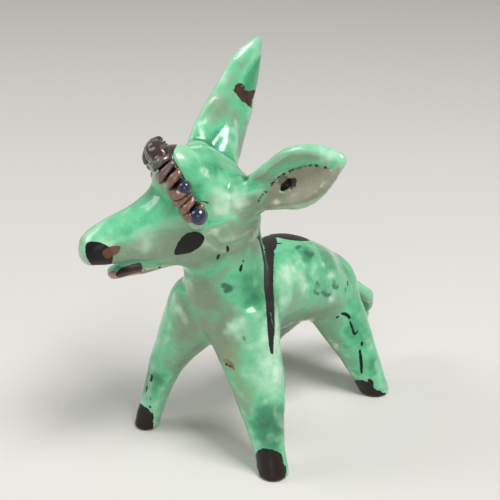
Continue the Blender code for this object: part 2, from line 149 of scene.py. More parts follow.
STROKES = (
    Mark("blot", ((224.5, 286.0, 3.6), (229.6, 288.5, 3.2), (226.0, 291.0, 2.6)), "body"),
    Mark("blot", ((244.2, 337.6, 1.4), (244.6, 338.8, 1.6))),
    Mark("blot", ((317.2, 283.0, 1.6), (318.6, 285.0, 1.8))),
    Mark("blot", ((333.0, 285.0, 1.9), (336.0, 288.0, 1.6), (338.6, 286.0, 1.2)), "body"),
    Mark("blot", ((322.4, 292.0, 1.8), (327.0, 295.6, 2.3), (331.0, 294.0, 1.6)), "body"),
    Mark("blot", ((314.0, 291.0, 1.3), (318.0, 294.0, 1.7))),
    Mark("blot", ((305.6, 252.6, 2.2), (309.6, 255.0, 2.8), (313.0, 253.4, 1.8)), "body"),
    Mark("blot", ((296.4, 247.6, 1.6), (300.6, 246.4, 2.0)), "body"),
    Mark("blot", ((243.6, 175.6, 2.4), (246.4, 179.0, 3.0))),
    Mark("ochre", ((223.6, 360.4, 2.2), (229.0, 363.0, 3.8), (233.6, 369.0, 2.2))),
    Mark("rust", ((140.8, 266.8, 0.9), (144.5, 270.0, 0.7), (158.0, 269.8, 0.6))),
    Mark("ink", ((159.6, 267.6, 1.3), (160.0, 267.9, 1.2))),
    Mark("ink", ((227.5, 246.8, 1.5), (227.9, 250.5, 1.9)), "head"),
    Mark("ink", ((218.6, 255.5, 1.9), (217.5, 258.6, 1.7)), "head"),
    Mark("ink", ((243.2, 260.4, 0.9), (243.1, 262.0, 1.2)), "body"),
    Mark("ink", ((241.5, 265.6, 1.5), (240.4, 270.2, 1.7)), "body"),
    Mark("umber", ((267.5, 241.6, 1.0), (273.0, 242.6, 0.9), (280.0, 243.6, 1.1))),
    Mark("split", ((270.3, 312.6, 0.6), (271.7, 318.6, 0.9), (273.6, 328.1, 0.4))),
    Mark("ink", ((309.3, 243.0, 0.9), (311.0, 244.0, 1.1))),
    Mark("ink", ((347.5, 281.8, 1.5), (347.9, 284.6, 1.7)), "body"),
    Mark("ink", ((345.8, 288.2, 0.8), (345.0, 292.0, 0.9))),
    Mark("ink", ((352.8, 286.8, 0.7), (353.9, 292.6, 0.8))),
    Mark("ink", ((342.0, 313.4, 1.3), (346.0, 314.4, 1.9), (349.6, 317.4, 1.6)), "body"),
    Mark("ink", ((336.8, 317.6, 1.3), (338.4, 316.8, 1.2))),
    Mark("ink", ((350.0, 321.6, 0.9), (352.3, 328.0, 1.2), (354.6, 334.0, 1.3), (357.5, 331.1, 1.1))),
    Mark("ink", ((361.9, 342.6, 1.4), (361.7, 344.6, 1.6)), "hind foot"),
    Mark("ink", ((359.8, 350.6, 1.2), (361.0, 361.8, 1.7), (361.5, 373.1, 1.1)), "hind foot"),
    Mark("ink", ((152.0, 375.6, 1.3), (151.0, 380.4, 1.7))),
    Mark("ink", ((147.4, 385.6, 0.9), (146.4, 390.6, 1.3))),
    Mark("ink", ((150.5, 397.0, 0.8), (150.7, 399.6, 0.9))),
    Mark("ink", ((149.4, 406.6, 1.2), (150.8, 407.4, 1.1))),
    Mark("clay", ((225.4, 363.6, 0.9), (227.2, 365.0, 1.2))),
    Mark("clay", ((230.2, 366.2, 1.1), (232.4, 368.0, 0.8))),
    Mark("clay", ((257.0, 203.4, 0.5), (262.0, 196.6, 0.6), (269.8, 187.0, 0.7), (279.4, 176.9, 0.8),
                  (294.6, 169.2, 0.5), (313.7, 165.4, 0.4), (332.8, 168.6, 0.5))),
    Mark("rust", ((200.6, 201.0, 0.8), (207.5, 202.8, 1.2))),
)
PATCHES = (
    Patch("thin", ((132, 258, 15, 0.9), (152, 256, 20, 1.0), (172, 262, 18, 1.0), (196, 262, 20, 1.0),
                   (214, 244, 18, 0.9), (160, 240, 9, 0.5), (232, 228, 14, 1.0), (248, 220, 12, 1.0),
                   (222, 272, 20, 0.7)), "head"),
    Patch("thin", ((200, 288, 16, 0.8), (198, 312, 24, 1.0), (192, 336, 24, 1.0), (178, 366, 16, 1.0),
                   (168, 390, 11, 0.8), (216, 340, 14, 0.9), (226, 352, 9, 0.7), (222, 312, 12, 0.6),
                   (190, 300, 12, 0.7), (282, 322, 20, 0.8), (308, 316, 18, 0.9),
                   (330, 316, 16, 0.8), (336, 344, 12, 0.9), (350, 366, 8, 0.5), (295, 292, 12, 0.5)),
          "body"),
    Patch("thin", ((226, 92, 14, 0.75), (216, 112, 13, 0.7), (234, 118, 10, 0.6), (240, 66, 8, 0.3),
                   (318, 194, 14, 0.6), (288, 206, 12, 0.8))),
    Patch("pool", ((209, 222, 7, 0.9), (196, 190, 7, 0.6), (160, 178, 4, 0.6), (217, 166, 9, 0.7),
                   (245, 178, 8, 0.7), (191, 147, 6, 0.7), (239, 158, 7, 0.5), (128, 236, 8, 0.35),
                   (157, 200, 8, 0.2)), "head"),
    # The pooled patches from x 345 onwards, on the hind leg, are painted shade as well as pooled glaze.
    Patch("pool", ((268, 430, 17, 0.95), (262, 420, 14, 0.8), (272, 438, 12, 0.8), (280, 410, 10, 0.5),
                   (262, 400, 10, 0.4), (284, 428, 7, 0.8), (227, 288, 4.5, 1.0),
                   (244, 338, 2.4, 1.0), (309, 254, 7, 0.9), (318, 284, 4, 1.0), (334, 286, 4, 0.8),
                   (325, 293, 5, 0.7), (298, 250, 7, 0.6), (325, 256, 8, 0.4), (345, 350, 8, 0.5),
                   (352, 372, 6, 0.6), (298, 188, 5, 0.6), (248, 250, 5, 0.5), (212, 318, 9, 0.4),
                   (366, 340, 12, 0.45), (358, 322, 12, 0.45), (372, 366, 10, 0.4), (328, 258, 14, 0.35),
                   (238, 282, 20, 0.4), (252, 300, 14, 0.35), (160, 330, 10, 0.3), (256, 290, 10, 0.3)),
          "body"),
    # The first six pale patches, on the near foreleg's right half, are painted light on its lit side as well
    # as milky glaze.
    Patch("pale", ((278, 345, 14, 1.0), (278, 374, 13, 1.0), (277, 320, 11, 0.9), (272, 396, 9, 0.6),
                   (266, 335, 12, 0.8), (268, 362, 11, 0.7),
                   (284, 276, 12, 0.9), (254, 372, 8, 0.5), (250, 345, 7, 0.4), (88, 232, 5, 0.4),
                   (300, 280, 7, 0.6), (232, 206, 10, 0.7), (146, 246, 10, 0.5), (105, 240, 8, 0.3),
                   (226, 196, 12, 1.0), (206, 174, 4, 0.9), (216, 150, 6, 0.5), (289, 268, 9, 1.0),
                   (313, 272, 6, 1.0), (331, 273, 6, 1.0), (333, 296, 5, 1.0), (284, 300, 8, 0.7),
                   (300, 262, 5, 0.7), (304, 290, 6, 0.7), (322, 262, 4, 0.7), (236, 330, 8, 0.5),
                   (262, 380, 9, 0.4), (240, 322, 8, 0.3), (284, 464, 4, 0.8),
                   (142, 402, 4, 0.7), (334, 345, 4, 0.8), (284, 198, 9, 0.6), (324, 156, 8, 0.5),
                   (222, 78, 6, 0.4), (245, 50, 6, 0.5)), "body"),
    Patch("yellow", ((230, 352, 9, 0.6), (234, 368, 9, 0.5), (240, 384, 8, 0.6), (247, 396, 6, 0.4),
                     (340, 167, 3.2, 1.0), (228, 365, 4, 0.7), (110, 262, 4, 0.3))),
    Patch("pits", ((214, 168, 6, 1.0), (223, 165, 6, 1.0), (208, 172, 4, 0.7))),
)
# How far noise moves the patches' edges, the sizes of its large and its small waves, and its
# seed, without which Blender's noise vectors would start anew from the clock in each run.
RAGGED, RAGGED_SEED = 2.6 * MM, 1
RAGGED_LARGE, RAGGED_SMALL = 5.5 * MM, 2.4 * MM

# Clay pressed on or away: x and y in the photograph's pixels, radius and height in millimetres.
DABS = (
    (288.0, 243.0, 14.0, 2.2),
    (351.0, 266.0, 9.0, -3.0),
    (368.0, 296.0, 4.0, 1.4),
    (187.0, 158.0, 7.0, 2.4),
    (176.0, 156.0, 5.0, 1.6),
    (197.0, 152.0, 5.5, 2.0),
    (210.0, 152.0, 4.0, 0.8),
    (248.0, 113.0, 4.0, 1.3),
    (240.0, 140.0, 5.0, -0.9),
    (218.0, 88.0, 6.0, -0.5),
    (206.0, 118.0, 6.0, -0.5),
    (222.0, 178.0, 8.0, 0.7),
    (216.0, 205.0, 7.0, 0.6),
    (206.0, 243.0, 7.0, 0.6),
    (190.0, 224.0, 5.0, 0.5),
    (150.0, 250.0, 9.0, -0.5),
    (232.0, 300.0, 9.0, 0.6),
    (206.0, 310.0, 8.0, -0.7),
    (248.0, 340.0, 6.0, 0.5),
    (192.0, 224.5, 3.2, -1.2),
)
# Where a thumb smoothed one lump of clay into the next: x and y in pixels, radius in millimetres.
JOINTS = ((190.0, 157.0, 6.0), (205.0, 154.0, 8.0), (218.0, 158.0, 8.0), (230.0, 160.0, 6.0))
JOINT_ROUNDS = 50
# Clay that fills the hollow between the crown and the upright ear: forward, left and up from the
# head's middle, and radius, in millimetres.
FILLINGS = (
    (4.5, -5.5, 20.0, 4.0),
    (1.0, -3.5, 19.0, 4.6),
    (-2.5, -3.0, 17.6, 4.8),
    (-5.0, -3.0, 15.8, 4.6),
)
# Strokes that a tool or a thumb left: x and y in pixels, half width in millimetres.
GROOVES = (
    ((172.0, 272.0, 1.6), (188.0, 275.0, 2.0), (205.0, 274.0, 2.0), (220.0, 268.0, 1.8), (229.0, 257.0, 1.4)),
    ((200.0, 229.0, 1.4), (212.0, 225.0, 1.6), (234.0, 214.0, 1.8), (252.0, 209.0, 1.6), (264.0, 204.0, 1.3)),
    ((245.9, 90.0, 1.4), (246.2, 80.4, 1.4), (249.6, 72.0, 1.3), (256.0, 63.0, 1.0)),
    ((211.0, 238.0, 1.4), (222.0, 246.0, 1.6), (238.0, 243.0, 1.4), (250.0, 236.0, 1.2)),
)
GROOVE_DEPTH, GROOVE_REACH = 0.35, 6.0 * MM
# How deep the glaze's chips are, in millimetres, and the size of their roughness.
CHIP_DEPTH, CHIP_SIZE = 0.55, 1.6 * MM

# Points of the solid that are closer than this are one, and its faces are halved this often.
WELD_GAP, ROUNDER_LEVELS = 0.00001, 2
# Drawing the skin in and pushing it out in turn softens facets without shrinking it.
FACET_ROUNDS, DRAW_IN, PUSH_OUT = 6, 0.5, -0.52
# Dents fade out below this height, so that the soles stay flat.
DENTS_FADE = 4.0 * MM
# Where in the noise each kind of unevenness starts.
DENT_START, RIPPLE_START, CHIP_START, PLEAT_START, BEAD_START = 3.7, 11.3, 23.9, 31.7, 5.1
# Rounds of smoothing that show broad hollows, fine creases and which way the skin leans, and
# those that even out the normals along which dents are pressed.
BROAD_ROUNDS, FINE_ROUNDS, TILT_ROUNDS, DENT_ROUNDS = 60, 10, 20, 6
# The head's heights in millimetres, between which the glaze is thin below the brow.
HEAD_FROM, HEAD_TO = 74.0, 116.0

# The garland's arch over the left half of the forehead, in millimetres forward, left and up from
# the head's middle, and its beads with their radii.
GARLAND_ARCH = (
    (12.2, 16.0, 10.8),
    (14.2, 13.8, 14.8),
    (16.4, 10.6, 19.2),
    (18.6, 5.4, 24.4),
    (19.0, 0.0, 28.2),
)
# Which way the garland faces on the left: forward, left and up.
GARLAND_FACES = (0.75, 0.5, 0.3)
# The dark brown under the garland: its half widths in millimetres at shares of the arch.
BED_PLACES, BED_HALF_WIDTHS = (0.0, 0.78, 1.0), (3.0, 3.2, 5.8)
# How finely the strip is made: rows to each fold, and faces across.
FOLD_ROWS, STRIP_COLUMNS = 22, 12
BEADS = (("low_bead", (11.9, 19.2, 10.4), 3.1), ("high_bead", (15.2, 15.9, 19.2), 2.4))

# The lamps' names, places and sizes in metres, and powers in watts, and where they all point.
LAMPS = (
    ("key_light", (0.45, -0.05, 1.0), 0.40, 8.6),
    ("left_light", (-0.75, -0.50, 0.75), 0.5, 3.6),
    ("front_light", (0.55, -0.90, 0.35), 0.6, 1.6),
)
LAMPS_AIM = (0.0, 0.0, 0.06)
# The studio's own light, and how much brighter it looks where it is seen or mirrored.
STUDIO_LIGHT, STUDIO_SHOWN = 0.4, 0.4
# The floor's width, and how far it lies under the soles.
FLOOR_WIDTH, FLOOR_GAP = 12.0, 0.0002


def rgb(*colour):
    """A colour for a node socket, from the 0 to 255 values that a screen shows."""
    linear = [((c / 255 + 0.055) / 1.055) ** 2.4 if c > 10 else c / 255 / 12.92 for c in colour]
    return (*linear, 1.0)


def unit(vector):
    return vector / np.linalg.norm(vector)


# The photograph's eye, in metres on the foal's own axes

EYE_BACK = np.array([
    math.sin(PHOTO_AZIMUTH) * math.cos(PHOTO_ELEVATION),
    -math.cos(PHOTO_AZIMUTH) * math.cos(PHOTO_ELEVATION),
    math.sin(PHOTO_ELEVATION),
])
EYE_RIGHT = np.array([math.cos(PHOTO_AZIMUTH), math.sin(PHOTO_AZIMUTH), 0.0])
EYE_UP = np.cross(EYE_BACK, EYE_RIGHT)
EYE = np.array(PHOTO_TARGET) + PHOTO_DISTANCE * EYE_BACK


def seen_at(points):
    """Where points fall in the photograph, in pixels, and how far they are from the eye."""
    ways = points - EYE
    depth = -(ways @ EYE_BACK)
    x = 0.5 * PHOTO_SIDE + FOCAL_PIXELS * (ways @ EYE_RIGHT) / depth
    y = 0.5 * PHOTO_SIDE - FOCAL_PIXELS * (ways @ EYE_UP) / depth
    return np.column_stack([x, y]), depth


def surface_under(tree, x, y):
    """The nearest surface point behind a pixel of the photograph, and its normal."""
    half = 0.5 * PHOTO_SIDE
    way = EYE_RIGHT * (x - half) / FOCAL_PIXELS - EYE_UP * (y - half) / FOCAL_PIXELS - EYE_BACK
    spot, normal, _, _ = tree.ray_cast(Vector(EYE), Vector(way))
    if spot is None:
        return None, None
    return np.array(spot), np.array(normal)


# The head's own axes

HEAD_AHEAD = np.array([-math.sin(HEAD_TURN), -math.cos(HEAD_TURN), 0.0])
HEAD_ASIDE = np.array([math.cos(HEAD_TURN), -math.sin(HEAD_TURN), 0.0])
HEAD_AXES = np.array([HEAD_AHEAD, HEAD_ASIDE, [0.0, 0.0, 1.0]])


def head_point(forward, left, up):
    return HEAD_MIDDLE + MM * (np.array([forward, left, up]) @ HEAD_AXES)


def repeats(points, where):
    """The points as they are, and then moved to where the same mark is painted again."""
    yield points
    if where == "head":
        aside = (points - HEAD_MIDDLE) @ HEAD_ASIDE
        yield points - 2.0 * aside[:, None] * HEAD_ASIDE
    if where == "body":
        flipped = points.copy()
        flipped[:, 0] = 2.0 * BODY_HALF_X - flipped[:, 0]
        yield flipped
    if where == "hind foot":
        yield points + HIND_FEET[0] - HIND_FEET[1]


# Curves and distances

def smooth_curve(rows, steps, closed=False):
    """Points on a smooth curve through the rows, a few steps to each span."""
    rows = np.array(rows, float)
    if closed:
        padded = np.vstack([rows[-1], rows, rows[:2]])
    else:
        padded = np.vstack([2.0 * rows[0] - rows[1], rows, 2.0 * rows[-1] - rows[-2]])
    shares = np.arange(steps)[:, None] / steps
    spans = []
    for p0, p1, p2, p3 in zip(padded, padded[1:], padded[2:], padded[3:]):
        spans.append(
            0.5 * (2 * p1 + (p2 - p0) * shares + (2 * p0 - 5 * p1 + 4 * p2 - p3) * shares ** 2
                   + (3 * p1 - p0 - 3 * p2 + p3) * shares ** 3)
        )
    if not closed:
        spans.append(rows[-1:])
    return np.vstack(spans)


def outline_distance(points, outline):
    """How far flat points are outside a closed outline, negative inside."""
    nearest = np.full(len(points), np.inf)
    inside = np.zeros(len(points), bool)
    for start, end in zip(outline, np.roll(outline, -1, axis=0)):
        edge = end - start
        share = np.clip((points - start) @ edge / (edge @ edge), 0.0, 1.0)
        nearest = np.minimum(nearest, np.linalg.norm(points - start - share[:, None] * edge, axis=1))
        if start[1] != end[1]:
            crosses = (start[1] > points[:, 1]) != (end[1] > points[:, 1])
            meets = start[0] + (points[:, 1] - start[1]) * edge[0] / edge[1]
            inside ^= crosses & (points[:, 0] < meets)
    return np.where(inside, -nearest, nearest)


def path_distance(points, path, radii):
    """How far points are outside a round stroke whose radius changes along its path."""
    nearest = np.full(len(points), np.inf)
    for start, end, first, last in zip(path, path[1:], radii, radii[1:]):
        edge = end - start
        share = np.clip((points - start) @ edge / max(edge @ edge, 1e-12), 0.0, 1.0)
        reach = np.linalg.norm(points - start - share[:, None] * edge, axis=1)
        nearest = np.minimum(nearest, reach - (first + share * (last - first)))
    return nearest


# Meshes as arrays

def skin_tree(mesh):
    return BVHTree.FromPolygons([v.co for v in mesh.vertices], [p.vertices[:] for p in mesh.polygons])


def mesh_points(mesh):
    points = np.empty(3 * len(mesh.vertices))
    mesh.vertices.foreach_get("co", points)
    return points.reshape(-1, 3)


def mesh_normals(mesh):
    normals = np.empty(3 * len(mesh.vertices))
    mesh.vertices.foreach_get("normal", normals)
    return normals.reshape(-1, 3)


def mesh_edges(mesh):
    edges = np.empty(2 * len(mesh.edges), int)
    mesh.edges.foreach_get("vertices", edges)
    return edges.reshape(-1, 2)


def move_to(mesh, points):
    mesh.vertices.foreach_set("co", points.ravel())
    mesh.update()


def relaxed(values, edges, rounds, share=0.5):
    """Each vertex's row, drawn towards the mean of its neighbours again and again."""
    starts, ends = edges.T
    count = len(values)
    neighbours = np.bincount(starts, minlength=count) + np.bincount(ends, minlength=count)
    for _ in range(rounds):
        sums = np.column_stack([
            np.bincount(starts, column[ends], count) + np.bincount(ends, column[starts], count)
            for column in values.T
        ])
        values = values + share * (sums / neighbours[:, None] - values)
    return values


def clay_noise(points, size, shift):
    """Smooth noise from -1 to 1, with bumps of about the given size."""
    return np.array([noise.noise(Vector(p) / size + Vector((shift, 0.0, 0.0))) for p in points])


def store(mesh, name, values):
    attribute = mesh.attributes.new(name, "FLOAT", "POINT")
    attribute.data.foreach_set("value", values.astype(np.float32))


def finished_copy(thing, name):
    """The mesh of an object with its modifiers applied."""
    bpy.context.view_layer.update()
    graph = bpy.context.evaluated_depsgraph_get()
    mesh = bpy.data.meshes.new_from_object(thing.evaluated_get(graph))
    mesh.name = name
    return mesh


def shown_object(name, mesh):
    thing = bpy.data.objects.new(name, mesh)
    bpy.context.scene.collection.objects.link(thing)
    return thing


# The settings that a user would change

class ClaySettings(bpy.types.PropertyGroup):
    skin_size: FloatProperty(
        name="Skin size", description="Edge of the faces that the clay's skin is made of",
        default=0.65 * MM, min=0.3 * MM, unit="LENGTH")
    dent_size: FloatProperty(
        name="Dent size", description="Width of the dents that fingers left",
        default=13.0 * MM, unit="LENGTH")
    dent_depth: FloatProperty(
        name="Dent depth", description="Depth of the dents that fingers left",
        default=0.55 * MM, unit="LENGTH")
    ripple_size: FloatProperty(
        name="Ripple size", description="Width of the small ripples under the glaze",
        default=4.2 * MM, unit="LENGTH")
    ripple_depth: FloatProperty(
        name="Ripple depth", description="Depth of the small ripples under the glaze",
        default=0.16 * MM, unit="LENGTH")


class GlazeSettings(bpy.types.PropertyGroup):
    # Also the colour of the painted shade underneath and below the brow.
    thin: FloatVectorProperty(
        name="Thin glaze", description="Where the clay shows through the glaze",
        subtype="COLOR", size=4, default=rgb(124, 150, 120), min=0.0, max=1.0)
    lean: FloatVectorProperty(
        name="Lean glaze", description="Glaze that hides the clay but is still grey",
        subtype="COLOR", size=4, default=rgb(116, 172, 134), min=0.0, max=1.0)
    mint: FloatVectorProperty(
        name="Mint glaze", description="Glaze of the usual thickness",
        subtype="COLOR", size=4, default=rgb(100, 197, 146), min=0.0, max=1.0)
    green: FloatVectorProperty(
        name="Green glaze", description="Thick glaze",
        subtype="COLOR", size=4, default=rgb(54, 154, 106), min=0.0, max=1.0)
    # Also the colour of the painted shade on the hind leg.
    pool: FloatVectorProperty(
        name="Pooled glaze", description="Glaze that has run together in hollows",
        subtype="COLOR", size=4, default=rgb(26, 92, 68), min=0.0, max=1.0)
    # Also the colour of the painted light on the near foreleg's lit side.
    cream: FloatVectorProperty(
        name="Pale glaze", description="Milky spots",
        subtype="COLOR", size=4, default=rgb(204, 240, 212), min=0.0, max=1.0)


class GarlandSettings(bpy.types.PropertyGroup):
    folds: IntProperty(
        name="Folds", description="Pleats on each half of the garland", default=8, min=3)
    width: FloatProperty(
        name="Width", description="Width of the pleated strip", default=7.4 * MM, unit="LENGTH")
    height: FloatProperty(
        name="Height", description="How far the pleats stand out", default=2.9 * MM, unit="LENGTH")
    sheet: FloatProperty(
        name="Sheet", description="Thickness of the strip of clay", default=1.1 * MM, unit="LENGTH")


class StudioSettings(bpy.types.PropertyGroup):
    azimuth: FloatProperty(
        name="Azimuth", description="Turn of the camera round the foal",
        subtype="ANGLE", default=PHOTO_AZIMUTH)
    elevation: FloatProperty(
        name="Elevation", description="Height of the camera over the foal",
        subtype="ANGLE", default=PHOTO_ELEVATION)
    distance: FloatProperty(
        name="Distance", description="From the camera to its target",
        default=PHOTO_DISTANCE, unit="LENGTH")
    target: FloatVectorProperty(
        name="Target", description="The point that the camera looks at",
        subtype="XYZ", default=PHOTO_TARGET, unit="LENGTH")
    floor: FloatVectorProperty(
        name="Floor", description="Colour of the floor and the background",
        subtype="COLOR", size=4, default=rgb(226, 224, 220), min=0.0, max=1.0)


# Node trees

def add_node(tree, kind, inputs=None, **settings):
    """A node with its settings, and its inputs linked or set by name or place."""
    node = tree.nodes.new(kind)
    for name, value in settings.items():
        setattr(node, name, value)
    for name, value in (inputs or {}).items():
        if isinstance(value, bpy.types.NodeSocket):
            tree.links.new(value, node.inputs[name])
        else:
            node.inputs[name].default_value = value
    return node


def maths(tree, operation, *values, clamp=False):
    node = add_node(tree, "ShaderNodeMath", dict(enumerate(values)), operation=operation)
    node.use_clamp = clamp
    return node.outputs[0]


def mixed(tree, share, first, second):
    """One colour over another by a share."""
    node = add_node(tree, "ShaderNodeMix", {0: share, 6: first, 7: second}, data_type="RGBA")
    return node.outputs[2]


def stored(tree, name):
    return add_node(tree, "ShaderNodeAttribute", attribute_name=name).outputs["Fac"]


def ramp(tree, value, stops):
    """Colours along a value, given as (place, colour)."""
    node = add_node(tree, "ShaderNodeValToRGB", {0: value})
    elements = node.color_ramp.elements
    while len(elements) < len(stops):
        elements.new(0.5)
    for element, (place, colour) in zip(elements, stops):
        element.position = place
        element.color = colour
    return node.outputs["Color"]


def speckles(tree, size, detail=2.0, roughness=0.5, warp=0.0):
    """Noise from 0 to 1 over the surface, with bumps of about the given size in metres."""
    spots = add_node(tree, "ShaderNodeTexCoord").outputs["Object"]
    node = add_node(tree, "ShaderNodeTexNoise", {
        "Vector": spots, "Scale": 1.0 / size, "Detail": detail,
        "Roughness": roughness, "Distortion": warp,
    })
    return node.outputs["Fac"]


def new_group(name, inputs, outputs):
    """A shader node group with its named number inputs and outputs."""
    tree = bpy.data.node_groups.new(name, "ShaderNodeTree")
    for label, default in inputs:
        socket = tree.interface.new_socket(label, in_out="INPUT", socket_type="NodeSocketFloat")
        socket.default_value = default
    for label in outputs:
        tree.interface.new_socket(label, in_out="OUTPUT", socket_type="NodeSocketFloat")
    return tree, tree.nodes.new("NodeGroupInput").outputs, tree.nodes.new("NodeGroupOutput")


def painted_edge_group():
    """Turns a distance from a mark into its mask, with an edge that a brush would leave."""
    tree, given, out = new_group(
        "painted_edge", (("Distance", 3.0), ("Wobble", 0.25), ("Softness", 0.08)), ("Mask",))
    waver = maths(tree, "SUBTRACT", speckles(tree, 1.3 * MM, detail=3.0, roughness=0.6), 0.5)
    moved = maths(tree, "MULTIPLY_ADD", waver, maths(tree, "MULTIPLY", given["Wobble"], 2.0),
                  given["Distance"])
    node = add_node(tree, "ShaderNodeMapRange", {
        "Value": moved, "From Min": given["Softness"],
        "From Max": maths(tree, "MULTIPLY", given["Softness"], -1.0),
    }, interpolation_type="SMOOTHSTEP")
    tree.links.new(node.outputs[0], out.inputs["Mask"])
    return tree


def glaze_skin_group():
    """The fine unevenness of fired glaze: a height for bumps and a mask of pinholes."""
    tree, given, out = new_group(
        "glaze_skin", (("Orange peel", 1.0), ("Pinholes", 1.0)), ("Height", "Pinholes"))
    peel = maths(tree, "MULTIPLY", speckles(tree, 1.7 * MM, detail=2.0), given["Orange peel"])
    spots = add_node(tree, "ShaderNodeTexCoord").outputs["Object"]
    cells = add_node(tree, "ShaderNodeTexVoronoi", {"Vector": spots, "Scale": 1.0 / (3.1 * MM)})
    pin = add_node(tree, "ShaderNodeMapRange", {
        "Value": cells.outputs["Distance"], "From Min": 0.10, "From Max": 0.04,
    })
    rare = maths(tree, "GREATER_THAN", speckles(tree, 9.0 * MM, detail=1.0), 0.56)
    pinholes = maths(tree, "MULTIPLY", maths(tree, "MULTIPLY", pin.outputs[0], rare), given["Pinholes"])
    tree.links.new(maths(tree, "SUBTRACT", peel, pinholes), out.inputs["Height"])
    tree.links.new(pinholes, out.inputs["Pinholes"])
    return tree


def shared_group(name, build):
    """The group of that name, built the first time that it is asked for."""
    return bpy.data.node_groups.get(name) or build()


def mask_of(tree, name, wobble, softness=0.08):
    """The mask of a painted coat, from the distance that the mesh holds for it."""
    node = add_node(tree, "ShaderNodeGroup", node_tree=shared_group("painted_edge", painted_edge_group))
    tree.links.new(stored(tree, name), node.inputs["Distance"])
    node.inputs["Wobble"].default_value = wobble
    node.inputs["Softness"].default_value = softness
    return node.outputs["Mask"]


def glaze_skin(tree, peel, pinholes):
    return add_node(tree, "ShaderNodeGroup", {"Orange peel": peel, "Pinholes": pinholes},
                    node_tree=shared_group("glaze_skin", glaze_skin_group))


def new_material(name):
    material = bpy.data.materials.new(name)
    material.use_nodes = True
    return material, material.node_tree, material.node_tree.nodes["Principled BSDF"]


def glaze_depth(tree):
    """How thick the green glaze lies, from 0 where the clay shows to 1 where it has pooled, with painted
    shade that greys it underneath and below the brow and darkens it on the hind leg.
    """
    depth = maths(tree, "MULTIPLY_ADD", stored(tree, "pool"), 0.42, 0.56)
    depth = maths(tree, "MULTIPLY_ADD", stored(tree, "thin"), -0.46, depth)
    depth = maths(tree, "MULTIPLY_ADD", stored(tree, "crease"), 0.22, depth)
    for size, weight, detail in ((17.0 * MM, 0.50, 2.0), (6.0 * MM, 0.32, 3.0), (1.6 * MM, 0.16, 3.0)):
        swing = maths(tree, "SUBTRACT", speckles(tree, size, detail=detail, warp=0.6), 0.5)
        depth = maths(tree, "MULTIPLY_ADD", swing, weight, depth)
    return depth


